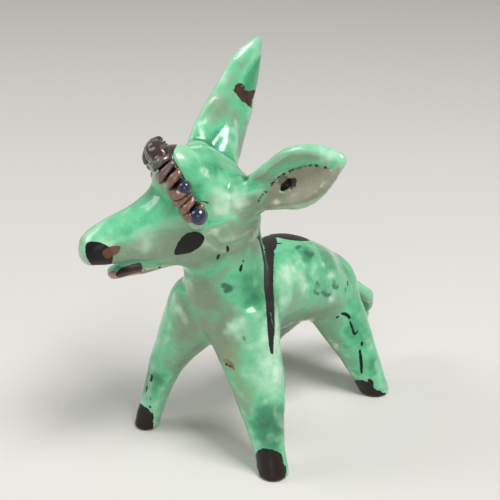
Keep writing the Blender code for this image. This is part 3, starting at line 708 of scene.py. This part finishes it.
def body_material(settings):
    """Green glaze over clay, with brown and black brushwork under the same gloss."""
    material, tree, surface = new_material("mint_glaze_over_clay")
    depth = glaze_depth(tree)
    colour = ramp(tree, depth, (
        (0.10, settings.thin), (0.30, settings.lean), (0.46, settings.mint),
        (0.70, settings.green), (1.00, settings.pool),
    ))
    clots = maths(tree, "MULTIPLY_ADD", speckles(tree, 3.8 * MM, detail=3.0), 1.6, 0.1)
    # Milky spots, and painted light on the near foreleg's lit side.
    milk_and_painted_light = maths(tree, "MULTIPLY", stored(tree, "pale"), clots, clamp=True)
    colour = mixed(tree, milk_and_painted_light, colour, settings.cream)
    ochre = maths(tree, "MULTIPLY", stored(tree, "yellow"), 0.75)
    colour = mixed(tree, ochre, colour, rgb(158, 164, 102))
    skin = glaze_skin(tree, 1.0, 1.0)
    colour = mixed(tree, maths(tree, "MULTIPLY", skin.outputs["Pinholes"], 0.6), colour, rgb(40, 70, 50))
    pocks = maths(tree, "GREATER_THAN", speckles(tree, 1.1 * MM, detail=3.0), 0.53)
    pocks = maths(tree, "MULTIPLY", pocks, stored(tree, "pits"), clamp=True)
    colour = mixed(tree, maths(tree, "MULTIPLY", pocks, 0.7), colour, rgb(78, 112, 84))
    colour = mixed(tree, mask_of(tree, "flap", 0.1, 0.25), colour, settings.green)
    dark = speckles(tree, 2.2 * MM, detail=3.0)
    clay = mixed(tree, dark, rgb(26, 16, 14), rgb(88, 56, 45))
    umber = mixed(tree, dark, rgb(14, 11, 10), rgb(40, 32, 28))
    ink = mixed(tree, dark, rgb(3, 3, 4), rgb(13, 13, 13))
    horn = mixed(tree, speckles(tree, 1.3 * MM, detail=4.0), rgb(3, 3, 4), rgb(44, 30, 22))
    inside = mixed(tree, speckles(tree, 4.0 * MM, detail=3.0), rgb(112, 122, 98), rgb(160, 156, 134))
    coats = (
        ("hollow", 0.5, inside),
        ("ochre", 0.8, mixed(tree, dark, rgb(92, 84, 44), rgb(158, 146, 84))),
        ("blot", 0.8, mixed(tree, dark, rgb(22, 74, 54), rgb(48, 124, 90))),
        ("lip", 0.15, mixed(tree, dark, rgb(120, 78, 66), rgb(196, 160, 142))),
        ("maroon", 0.3, mixed(tree, dark, rgb(34, 14, 12), rgb(68, 30, 24))),
        ("band", 0.3, mixed(tree, dark, rgb(30, 19, 17), rgb(70, 44, 37))),
        ("clay", 1.5, clay),
        ("umber", 0.3, umber),
        ("ink", 0.28, ink),
        ("hoof", 0.75, horn),
        ("rust", 0.4, mixed(tree, dark, rgb(72, 43, 25), rgb(120, 78, 47))),
        ("sole", 0.3, rgb(150, 112, 84)),
    )
    masks = {}
    for name, wobble, paint in coats:
        masks[name] = mask_of(tree, name, wobble, 0.5 if name in ("blot", "hollow") else 0.08)
        colour = mixed(tree, masks[name], colour, paint)
    colour = mixed(tree, mask_of(tree, "split", 0.1), colour, settings.lean)
    tree.links.new(colour, surface.inputs["Base Color"])

    bare = maths(tree, "MAXIMUM", masks["clay"], masks["sole"])
    satin = maths(tree, "MULTIPLY_ADD", masks["umber"], 0.18, 0.22)
    satin = maths(tree, "MULTIPLY_ADD", stored(tree, "thin"), 0.10, satin)
    satin = maths(tree, "MULTIPLY_ADD", speckles(tree, 7.0 * MM), 0.10, satin)
    tree.links.new(maths(tree, "MAXIMUM", satin, maths(tree, "MULTIPLY", bare, 0.6)),
                   surface.inputs["Roughness"])
    dull = maths(tree, "MAXIMUM", bare, maths(tree, "MAXIMUM", masks["umber"], masks["ink"]))
    dull = maths(tree, "MAXIMUM", dull, masks["hoof"])
    coat = maths(tree, "MULTIPLY_ADD", dull, -0.7, 0.7)
    tree.links.new(coat, surface.inputs["Coat Weight"])
    surface.inputs["Coat Roughness"].default_value = 0.12
    surface.inputs["Specular IOR Level"].default_value = 0.3

    brushwork = maths(tree, "MAXIMUM", masks["umber"], masks["ink"])
    height = maths(tree, "MULTIPLY_ADD", brushwork, 0.5, skin.outputs["Height"])
    grit = maths(tree, "MULTIPLY", maths(tree, "MAXIMUM", bare, stored(tree, "pits")),
                 speckles(tree, 0.9 * MM, detail=4.0, roughness=0.7))
    height = maths(tree, "MULTIPLY_ADD", grit, 3.0, height)
    bump = add_node(tree, "ShaderNodeBump", {"Height": height, "Strength": 0.35, "Distance": 0.12 * MM})
    tree.links.new(bump.outputs[0], surface.inputs["Normal"])
    return material


def garland_material():
    """Brown glaze on the pleats, with painted shade that darkens it to black in the folds between them, and
    red clay on the ridges.
    """
    material, tree, surface = new_material("brown_glaze_on_pleats")
    ridge = stored(tree, "ridge")
    grain = speckles(tree, 1.5 * MM, detail=4.0, roughness=0.65)
    # Painted shade: the glaze darkens towards black down in the folds between the pleats, and wears to red
    # clay on their ridges.
    wear_and_fold_shade = maths(tree, "MULTIPLY_ADD", maths(tree, "SUBTRACT", grain, 0.5), 1.1, ridge)
    brown = ramp(tree, wear_and_fold_shade, (
        (0.15, rgb(18, 11, 11)), (0.50, rgb(52, 31, 27)), (0.80, rgb(96, 60, 50)), (1.0, rgb(132, 92, 78)),
    ))
    grey = ramp(tree, wear_and_fold_shade, (
        (0.15, rgb(9, 10, 11)), (0.55, rgb(24, 26, 27)), (0.85, rgb(48, 50, 50)), (1.0, rgb(84, 72, 64)),
    ))
    high = maths(tree, "MULTIPLY_ADD", maths(tree, "SUBTRACT", grain, 0.5), 0.5, stored(tree, "crest"))
    step = add_node(tree, "ShaderNodeMapRange", {"Value": high, "From Min": 0.50, "From Max": 0.80})
    tree.links.new(mixed(tree, step.outputs[0], brown, grey), surface.inputs["Base Color"])
    surface.inputs["Roughness"].default_value = 0.28
    surface.inputs["Coat Weight"].default_value = 0.7
    surface.inputs["Coat Roughness"].default_value = 0.08
    skin = glaze_skin(tree, 1.0, 0.6)
    height = maths(tree, "MULTIPLY_ADD", grain, 1.2, skin.outputs["Height"])
    bump = add_node(tree, "ShaderNodeBump", {"Height": height, "Strength": 0.5, "Distance": 0.15 * MM})
    tree.links.new(bump.outputs[0], surface.inputs["Normal"])
    return material


def bead_material():
    """Pellets under a thick blue-black glaze that is lighter where it ran thin."""
    material, tree, surface = new_material("blue_black_glaze")
    patches = speckles(tree, 2.6 * MM, detail=3.0, warp=1.0)
    rim = maths(tree, "MULTIPLY_ADD", maths(tree, "SUBTRACT", patches, 0.5), 0.8, stored(tree, "rim"))
    colour = ramp(tree, rim, (
        (0.20, rgb(14, 22, 56)), (0.50, rgb(24, 38, 72)), (0.75, rgb(44, 58, 66)), (1.00, rgb(78, 92, 84)),
    ))
    tree.links.new(colour, surface.inputs["Base Color"])
    surface.inputs["Roughness"].default_value = 0.12
    surface.inputs["Coat Weight"].default_value = 0.4
    surface.inputs["Coat Roughness"].default_value = 0.03
    skin = glaze_skin(tree, 1.0, 0.5)
    bump = add_node(tree, "ShaderNodeBump", {
        "Height": skin.outputs["Height"], "Strength": 0.3, "Distance": 0.1 * MM,
    })
    tree.links.new(bump.outputs[0], surface.inputs["Normal"])
    return material


# The clay body

def fine_skin(settings):
    """The foal's solid with a finer, rounder skin of even faces."""
    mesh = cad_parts["donkey"].data.copy()
    clay = bmesh.new()
    clay.from_mesh(mesh)
    for forward, left, up, radius in FILLINGS:
        place = Matrix.Translation(head_point(forward, left, up))
        bmesh.ops.create_icosphere(clay, subdivisions=3, radius=radius * MM, matrix=place)
    clay.to_mesh(mesh)
    clay.free()
    rough = shown_object("clay_before_skin", mesh)
    weld = rough.modifiers.new("weld", "WELD")
    weld.merge_threshold = WELD_GAP
    rounder = rough.modifiers.new("rounder", "SUBSURF")
    rounder.levels = ROUNDER_LEVELS
    rounder.render_levels = ROUNDER_LEVELS
    skin = rough.modifiers.new("skin", "REMESH")
    skin.mode = "VOXEL"
    skin.voxel_size = settings.skin_size
    mesh = finished_copy(rough, "glazed_foal")
    bpy.data.objects.remove(rough)
    return mesh


def garland_path(way):
    """Points along one half of the garland from its low end to the crest, with their frame."""
    path = smooth_curve(GARLAND_ARCH, 12)
    tangents = np.gradient(path, axis=0)
    points, alongs, outs = [], [], []
    for (forward, left, up), tangent in zip(path, tangents):
        points.append(head_point(forward, way * left, up))
        along = unit((tangent * (1, way, 1)) @ HEAD_AXES)
        out = (np.array(GARLAND_FACES) * (1, way, 1)) @ HEAD_AXES
        alongs.append(along)
        outs.append(unit(out - (out @ along) * along))
    return np.array(points), np.array(alongs), np.array(outs)


def near_marks(points, normals, spot, normal, reach):
    """Which vertices are on the skin round a spot, and not on the other side of a thin wall."""
    close = np.linalg.norm(points - spot, axis=1) < reach
    return close & (normals @ normal > OTHER_SIDE)


def in_sight(tree, points, slack):
    """Which points lie on the surface that the photograph's eye meets first, give or take slack."""
    seen = np.empty(len(points), bool)
    for k, way in enumerate(points - EYE):
        _, _, _, distance = tree.ray_cast(Vector(EYE), Vector(way))
        seen[k] = distance is None or abs(distance - np.linalg.norm(way)) < slack
    return seen


def stroke_on_skin(tree, points):
    """A stroke's path laid on the skin, and its radii there, both in metres."""
    path, radii = [], []
    for x, y, half in smooth_curve(points, 6):
        spot, _ = surface_under(tree, x, y)
        if spot is not None:
            path.append(spot)
            radii.append(half * (EYE_BACK @ (EYE - spot)) / FOCAL_PIXELS)
    return np.array(path), np.array(radii)


def press_dabs(mesh, tree):
    """Presses clay on and away, and draws the grooves."""
    points, normals = mesh_points(mesh), mesh_normals(mesh)
    moves = np.zeros(len(points))
    for x, y, radius, height in DABS:
        spot, normal = surface_under(tree, x, y)
        if spot is None:
            raise RuntimeError(f"the dab at {x}, {y} misses the foal")
        gap = np.linalg.norm(points - spot, axis=1) / (radius * MM)
        facing = np.clip(normals @ normal * 1.5 + 0.5, 0.0, 1.0)
        moves += height * MM * np.exp(-gap ** 2) * facing
    for groove in GROOVES:
        path, _ = stroke_on_skin(tree, groove)
        widths = smooth_curve(groove, 6)[:, 2] * MM
        low, high = path.min(axis=0) - GROOVE_REACH, path.max(axis=0) + GROOVE_REACH
        near = ((points > low) & (points < high)).all(axis=1)
        away = path_distance(points[near], path, np.zeros(len(path)))
        moves[near] -= GROOVE_DEPTH * MM * np.exp(-(away / widths.mean()) ** 2)
    move_to(mesh, points + moves[:, None] * normals)


def smooth_joints(mesh, tree, edges):
    """Draws one lump of clay into the next where they meet."""
    points = mesh_points(mesh)
    soft = relaxed(points, edges, JOINT_ROUNDS)
    share = np.zeros(len(points))
    for x, y, radius in JOINTS:
        spot, _ = surface_under(tree, x, y)
        if spot is None:
            raise RuntimeError(f"the joint at {x}, {y} misses the foal")
        gap = np.linalg.norm(points - spot, axis=1) / (radius * MM)
        share = np.maximum(share, np.exp(-gap ** 2))
    move_to(mesh, points + share[:, None] * (soft - points))


def knead_surface(mesh, settings):
    """Softens facets, and leaves the dents and ripples of hand-pressed clay."""
    edges = mesh_edges(mesh)
    points = mesh_points(mesh)
    for _ in range(FACET_ROUNDS):
        points = relaxed(points, edges, 1, DRAW_IN)
        points = relaxed(points, edges, 1, PUSH_OUT)
    move_to(mesh, points)
    normals = relaxed(mesh_normals(mesh), edges, DENT_ROUNDS)
    normals /= np.linalg.norm(normals, axis=1)[:, None]
    swell = settings.dent_depth * clay_noise(points, settings.dent_size, DENT_START)
    swell += settings.ripple_depth * clay_noise(points, settings.ripple_size, RIPPLE_START)
    feet = np.clip(points[:, 2] / DENTS_FADE, 0.0, 1.0)
    points = points + (swell * feet)[:, None] * normals
    points[:, 2] = np.maximum(points[:, 2], 0.0)
    move_to(mesh, points)
    press_dabs(mesh, skin_tree(mesh))
    smooth_joints(mesh, skin_tree(mesh), edges)
    return edges


def seen_inside(tree, outline):
    """The skin that the photograph shows inside an outline, apart from what it shows edge-on."""
    low, high = np.floor(outline.min(axis=0)), np.ceil(outline.max(axis=0)) + 1.0
    columns, rows = np.meshgrid(np.arange(low[0], high[0]), np.arange(low[1], high[1]))
    pixels = np.column_stack([columns.ravel(), rows.ravel()])
    spots = []
    for x, y in pixels[outline_distance(pixels, outline) < 0.5]:
        spot, normal = surface_under(tree, x, y)
        if spot is not None and unit(EYE - spot) @ normal > EDGE_ON:
            spots.append(spot)
    shown = KDTree(len(spots))
    for k, spot in enumerate(spots):
        shown.insert(spot, k)
    shown.balance()
    return shown


def repeated_normals(normals, where):
    """The normals that go with a mark's second place."""
    if where == "head":
        return normals - 2.0 * (normals @ HEAD_ASIDE)[:, None] * HEAD_ASIDE
    if where == "body":
        return normals * (-1.0, 1.0, 1.0)
    return normals


def outline_anchor(tree, outline, middle):
    """A spot on the skin inside an outline, and its normal there."""
    for pixel in (middle, *(0.5 * (outline + middle))):
        spot, normal = surface_under(tree, *pixel)
        if spot is not None:
            return spot, normal
    raise RuntimeError(f"the outline round {middle} misses the foal")


def paint_outlines(points, normals, tree, coats):
    """Stores how far each point is outside the closed marks, in millimetres."""
    for mark in OUTLINES:
        outline = smooth_curve(mark.points, 5, closed=True)
        middle = outline.mean(axis=0)
        spot, normal = outline_anchor(tree, outline, middle)
        pixel = (EYE_BACK @ (EYE - spot)) / FOCAL_PIXELS
        radius = np.linalg.norm(outline - middle, axis=1).max()
        reach = (radius + OUTLINE_MARGIN) * pixel * OUTLINE_SPREAD
        shown = seen_inside(tree, outline)
        for where in repeats(points, mark.repeat):
            repeated = where is not points
            limit = REPEATED_REACH if repeated else PAINT_REACH
            turned = repeated_normals(normals, mark.repeat) if repeated else normals
            near = np.flatnonzero(near_marks(where, turned, spot, normal, reach))
            flat, depth = seen_at(where[near])
            away = outline_distance(flat, outline) * depth / FOCAL_PIXELS / MM
            near, away = near[away < FAR], away[away < FAR]
            seen = in_sight(tree, where[near], REPEATED_SLACK if repeated else SIGHT_SLACK)
            near, away = near[seen], away[seen]
            beyond = np.array([shown.find(point)[2] - limit for point in where[near]]) / MM
            if repeated and mark.repeat == "body":
                beyond = np.maximum(beyond, (where[near][:, 2] - WITHERS_Z) / MM)
            away = np.maximum(away, beyond)
            coats[mark.coat][near] = np.minimum(coats[mark.coat][near], away)


def paint_strokes(points, tree, coats):
    """Stores how far each point is outside the open marks, in millimetres."""
    for mark in STROKES:
        path, radii = stroke_on_skin(tree, mark.points)
        reach = radii.max() + FAR * MM
        for where in repeats(points, mark.repeat):
            low, high = path.min(axis=0) - reach, path.max(axis=0) + reach
            near = ((where > low) & (where < high)).all(axis=1)
            away = path_distance(where[near], path, radii) / MM
            coats[mark.coat][near] = np.minimum(coats[mark.coat][near], away)


def lay_patches(points, normals, tree, fields):
    """Adds the soft patches of glaze to their fields, with ragged edges."""
    noise.seed_set(RAGGED_SEED)
    drift = np.array([noise.noise_vector(Vector(p) / RAGGED_LARGE) for p in points])
    drift += 0.5 * np.array([noise.noise_vector(Vector(p) / RAGGED_SMALL) for p in points])
    ragged = points + RAGGED * drift
    for patch in PATCHES:
        for x, y, radius, strength in patch.spots:
            spot, normal = surface_under(tree, x, y)
            if spot is None:
                raise RuntimeError(f"the patch at {x}, {y} misses the foal")
            size = radius * (EYE_BACK @ (EYE - spot)) / FOCAL_PIXELS
            for where in repeats(ragged, patch.repeat):
                turned = normals if where is ragged else repeated_normals(normals, patch.repeat)
                gap = np.linalg.norm(where - spot, axis=1) / size
                facing = np.clip(turned @ normal + 0.5, 0.0, 1.0)
                share = strength * np.exp(-gap ** 2) * facing
                fields[patch.field] += share * (1.0 - fields[patch.field])


def saddle_distance(points, normals):
    """How far points are outside the dark patch on the back, in millimetres."""
    flat = (points[:, :2] / MM - SADDLE_AT) / SADDLE_HALF
    away = (np.linalg.norm(flat, axis=1) - 1.0) * min(SADDLE_HALF)
    return np.where(normals[:, 2] > 0.2, away, FAR)


def garland_bed_distance(points):
    """How far points are outside the dark brown under the garland, in millimetres."""
    nearest = np.full(len(points), FAR)
    for way in (1, -1):
        path, _, _ = garland_path(way)
        shares = np.linspace(0.0, 1.0, len(path))
        half_widths = MM * np.interp(shares, BED_PLACES, BED_HALF_WIDTHS)
        nearest = np.minimum(nearest, path_distance(points, path, half_widths) / MM)
    return nearest


def glaze_by_form(points, normals, edges, fields):
    """Adds glaze in creases, paleness on ridges, and painted shade as the grey of thin glaze underneath and
    below the brow.
    """
    broad = relaxed(points, edges, BROAD_ROUNDS)
    hollow = ((broad - points) * normals).sum(axis=1) / MM
    fine = relaxed(points, edges, FINE_ROUNDS)
    crease = ((fine - points) * normals).sum(axis=1) / MM
    fields["crease"] = np.clip(hollow / 0.9, -0.2, 1.0) + np.clip(crease / 0.2, -0.1, 0.5)
    ridge = np.clip(-crease / 0.12 - 0.4, 0.0, 0.35)
    fields["pale"] = np.clip(fields["pale"] + ridge, 0.0, 1.0)
    tilt = relaxed(normals, edges, TILT_ROUNDS)[:, 2]
    # Painted shade: skin that faces down, and the head below the brow, gets the grey of thin glaze.
    underside_shade = np.clip(-tilt * 1.5 + 0.1, 0.0, 1.0)
    height = points[:, 2] / MM
    on_head = np.clip((height - HEAD_FROM) / 8.0, 0.0, 1.0)
    on_head = on_head * np.clip((HEAD_TO - height) / 6.0, 0.0, 1.0)
    below_brow_shade = on_head * np.clip((0.42 - tilt) / 0.45, 0.0, 1.0)
    thinnest = np.maximum.reduce([fields["thin"], 0.85 * underside_shade, 0.95 * below_brow_shade])
    fields["thin"] = np.clip(thinnest, 0.0, 1.0)


def break_chips(mesh, points, normals, clay):
    """Sinks the skin where the glaze has chipped off the clay."""
    broken = np.clip(0.2 - clay / 0.8, 0.0, 1.0)
    rough = 1.0 + 0.6 * clay_noise(points, CHIP_SIZE, CHIP_START)
    move_to(mesh, points - (CHIP_DEPTH * MM * broken * rough)[:, None] * normals)


def paint_body(mesh, edges):
    """Stores on the mesh where each coat of paint and each kind of glaze lies."""
    points, normals = mesh_points(mesh), mesh_normals(mesh)
    tree = skin_tree(mesh)
    coats = {name: np.full(len(points), FAR) for name in COATS}
    fields = {name: np.zeros(len(points)) for name in FIELDS}
    paint_outlines(points, normals, tree, coats)
    paint_strokes(points, tree, coats)
    lay_patches(points, normals, tree, fields)
    coats["umber"] = np.minimum(coats["umber"], saddle_distance(points, normals))
    coats["band"] = garland_bed_distance(points)
    coats["sole"] = np.where(normals[:, 2] < SOLE_FACES, points[:, 2] / MM - SOLE_HEIGHT, FAR)
    glaze_by_form(points, normals, edges, fields)
    for name, values in (*coats.items(), *fields.items()):
        store(mesh, name, np.clip(values, -FAR, FAR))
    break_chips(mesh, points, normals, coats["clay"])


class FOAL_OT_clay_body(bpy.types.Operator):
    """Make the glazed and painted foal from its solid"""
    bl_idname = "foal.clay_body"
    bl_label = "Clay Body"

    def execute(self, context):
        settings = context.scene.foal_clay
        mesh = fine_skin(settings)
        edges = knead_surface(mesh, settings)
        paint_body(mesh, edges)
        mesh.shade_smooth()
        mesh.materials.clear()
        mesh.materials.append(body_material(context.scene.foal_glaze))
        foal = shown_object("glazed_foal", mesh)
        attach(foal, "root")
        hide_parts("donkey")
        return {"FINISHED"}


# The garland and its beads

def pleated_strip(way, settings):
    """A strip of clay folded back and forth over one half of the forehead."""
    path, alongs, outs = garland_path(way)
    steps, columns = FOLD_ROWS * settings.folds, STRIP_COLUMNS
    places = np.linspace(0.0, len(path) - 1.001, steps + 1)
    vertices, ridges, crests = [], [], []
    for i, place in enumerate(places):
        k, share = int(place), place - int(place)
        middle = path[k] + share * (path[k + 1] - path[k])
        along, out = unit(alongs[k] + share * (alongs[k + 1] - alongs[k])), outs[k]
        across = np.cross(along, out)
        along_folds = settings.folds * i / steps
        along_folds += 0.11 * math.sin(2.1 * along_folds + way) * math.sin(math.pi * i / steps)
        turn = 2.0 * math.pi * along_folds
        fold = int(along_folds)
        uneven = 1.0 + 0.26 * math.sin(2.3 * fold + way) - 0.2 * (i / steps) ** 3
        wide = 1.0 + 0.12 * math.sin(3.9 * fold + 2.0 * way) + 0.10 * i / steps
        shift = 0.9 * MM * math.sin(4.7 * fold + way) * math.sin(0.5 * turn) ** 2
        rise = (0.5 * (1.0 - math.cos(turn))) ** 0.75
        for j in range(columns + 1):
            side = 2.0 * j / columns - 1.0
            height = settings.height * uneven * rise * (1.0 - 0.6 * side ** 2) + 0.1 * MM
            height *= 1.0 - 0.22 * side * math.sin(2.9 * fold + way)
            lean = -0.7 * height + 0.4 * MM * math.sin(2.0 * turn)
            lean += MM * side * (0.5 * math.sin(turn) + 0.8 * math.sin(1.7 * fold))
            reach = 0.5 * settings.width * wide * (0.80 + 0.26 * rise) * side + shift
            cup = 0.8 * MM * (1.0 - side ** 2)
            vertices.append(middle + out * (height + cup) + along * lean + across * reach)
            ridges.append(rise)
            crests.append(i / steps)
    stride = columns + 1
    faces = [
        (a, a + 1, a + 1 + stride, a + stride)
        for i in range(steps) for a in range(i * stride, i * stride + columns)
    ]
    mesh = bpy.data.meshes.new("strip")
    mesh.from_pydata([tuple(v) for v in vertices], [], faces)
    store(mesh, "ridge", np.array(ridges))
    store(mesh, "crest", np.array(crests))
    return mesh


class FOAL_OT_garland(bpy.types.Operator):
    """Fold the two halves of the pleated garland"""
    bl_idname = "foal.garland"
    bl_label = "Garland"

    def execute(self, context):
        settings = context.scene.foal_garland
        glaze = garland_material()
        for side, way in (("left", 1), ("right", -1)):
            draft = shown_object("strip", pleated_strip(way, settings))
            sheet = draft.modifiers.new("sheet", "SOLIDIFY")
            sheet.thickness = settings.sheet
            sheet.offset = 0.0
            rounder = draft.modifiers.new("rounder", "SUBSURF")
            rounder.levels = 1
            rounder.render_levels = 1
            mesh = finished_copy(draft, f"garland_{side}")
            bpy.data.objects.remove(draft)
            points = mesh_points(mesh)
            pinched = 0.28 * MM * clay_noise(points, 2.0 * MM, PLEAT_START)
            move_to(mesh, points + pinched[:, None] * mesh_normals(mesh))
            mesh.shade_smooth()
            mesh.materials.append(glaze)
            strip = shown_object(f"garland_{side}", mesh)
            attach(strip, "root")
        return {"FINISHED"}


class FOAL_OT_beads(bpy.types.Operator):
    """Set the round pellets on the garland"""
    bl_idname = "foal.beads"
    bl_label = "Beads"

    def execute(self, context):
        glaze = bead_material()
        for side, way in (("left", 1), ("right", -1)):
            for name, (forward, left, up), radius in BEADS:
                bpy.ops.mesh.primitive_uv_sphere_add(segments=48, ring_count=24, radius=radius * MM)
                bead = context.object
                bead.name = f"{name}_{side}"
                mesh = bead.data
                mesh.name = bead.name
                round_points = mesh_points(mesh)
                middle = head_point(forward, way * left, up)
                out = unit((np.array(GARLAND_FACES) * (1, way, 1)) @ HEAD_AXES)
                rim = 1.0 - np.clip((round_points @ out) / (radius * MM), 0.0, 1.0)
                lumps = 0.05 * radius * MM * clay_noise(round_points + middle, 2.4 * MM, BEAD_START)
                directions = round_points / np.linalg.norm(round_points, axis=1)[:, None]
                move_to(mesh, round_points + middle + lumps[:, None] * directions)
                store(mesh, "rim", rim)
                mesh.shade_smooth()
                mesh.materials.append(glaze)
                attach(bead, "root")
        return {"FINISHED"}


# The stage

def aim(thing, place, target):
    """Puts a lamp or camera at its place and points it at a target."""
    thing.location = place
    thing.rotation_euler = (Vector(target) - Vector(place)).to_track_quat("-Z", "Y").to_euler()


def soft_light(name, place, size, power):
    """A square area lamp that points at the foal."""
    lamp = bpy.data.lights.new(name, "AREA")
    lamp.size = size
    lamp.energy = power
    thing = bpy.data.objects.new(name, lamp)
    bpy.context.scene.collection.objects.link(thing)
    aim(thing, place, LAMPS_AIM)


def floor_material(colour):
    material, tree, surface = new_material("pale_floor")
    shade = mixed(tree, speckles(tree, 0.35, detail=1.0), colour, [0.97 * c for c in colour])
    tree.links.new(shade, surface.inputs["Base Color"])
    surface.inputs["Roughness"].default_value = 0.7
    surface.inputs["Specular IOR Level"].default_value = 0.2
    return material


class FOAL_OT_stage(bpy.types.Operator):
    """Lay the floor and set up the lights and the camera"""
    bl_idname = "foal.stage"
    bl_label = "Stage"

    def execute(self, context):
        settings = context.scene.foal_studio
        bpy.ops.mesh.primitive_plane_add(size=FLOOR_WIDTH, location=(0.0, 0.0, -FLOOR_GAP))
        floor = context.object
        floor.name = "floor"
        floor.data.materials.append(floor_material(settings.floor[:]))

        for lamp in LAMPS:
            soft_light(*lamp)

        world = bpy.data.worlds.new("studio")
        context.scene.world = world
        world.use_nodes = True
        tree = world.node_tree
        background = tree.nodes["Background"]
        background.inputs["Color"].default_value = settings.floor[:]
        rays = add_node(tree, "ShaderNodeLightPath").outputs
        shown = maths(tree, "MAXIMUM", rays["Is Camera Ray"],
                      maths(tree, "MAXIMUM", rays["Is Glossy Ray"], rays["Is Transmission Ray"]))
        strength = maths(tree, "MULTIPLY_ADD", shown, STUDIO_SHOWN, STUDIO_LIGHT)
        tree.links.new(strength, background.inputs["Strength"])

        camera_data = bpy.data.cameras.new("camera")
        camera_data.lens = LENS
        camera_data.sensor_width = SENSOR
        camera = bpy.data.objects.new("camera", camera_data)
        context.scene.collection.objects.link(camera)
        away = Vector((
            math.sin(settings.azimuth) * math.cos(settings.elevation),
            -math.cos(settings.azimuth) * math.cos(settings.elevation),
            math.sin(settings.elevation),
        ))
        target = Vector(settings.target)
        aim(camera, target + settings.distance * away, target)
        context.scene.camera = camera
        context.scene.view_settings.view_transform = "Standard"
        return {"FINISHED"}


class FOAL_PT_panel(bpy.types.Panel):
    """Lists the foal's sizes, colours and steps"""
    bl_label = "Foal"
    bl_idname = "FOAL_PT_panel"
    bl_space_type = "VIEW_3D"
    bl_region_type = "UI"
    bl_category = "Foal"

    def draw(self, context):
        scene = context.scene
        for settings, steps in (
            (scene.foal_clay, ("foal.clay_body",)),
            (scene.foal_glaze, ()),
            (scene.foal_garland, ("foal.garland", "foal.beads")),
            (scene.foal_studio, ("foal.stage",)),
        ):
            box = self.layout.box()
            for name in settings.__annotations__:
                box.prop(settings, name)
            for step in steps:
                box.operator(step)


CLASSES = (
    ClaySettings, GlazeSettings, GarlandSettings, StudioSettings,
    FOAL_OT_clay_body, FOAL_OT_garland, FOAL_OT_beads, FOAL_OT_stage, FOAL_PT_panel,
)


def register():
    for made in CLASSES:
        bpy.utils.register_class(made)
    bpy.types.Scene.foal_clay = PointerProperty(type=ClaySettings)
    bpy.types.Scene.foal_glaze = PointerProperty(type=GlazeSettings)
    bpy.types.Scene.foal_garland = PointerProperty(type=GarlandSettings)
    bpy.types.Scene.foal_studio = PointerProperty(type=StudioSettings)


def unregister():
    del bpy.types.Scene.foal_studio
    del bpy.types.Scene.foal_garland
    del bpy.types.Scene.foal_glaze
    del bpy.types.Scene.foal_clay
    for made in reversed(CLASSES):
        bpy.utils.unregister_class(made)


def main():
    register()
    bpy.ops.foal.clay_body()
    bpy.ops.foal.garland()
    bpy.ops.foal.beads()
    bpy.ops.foal.stage()


if __name__ == "__main__":
    main()
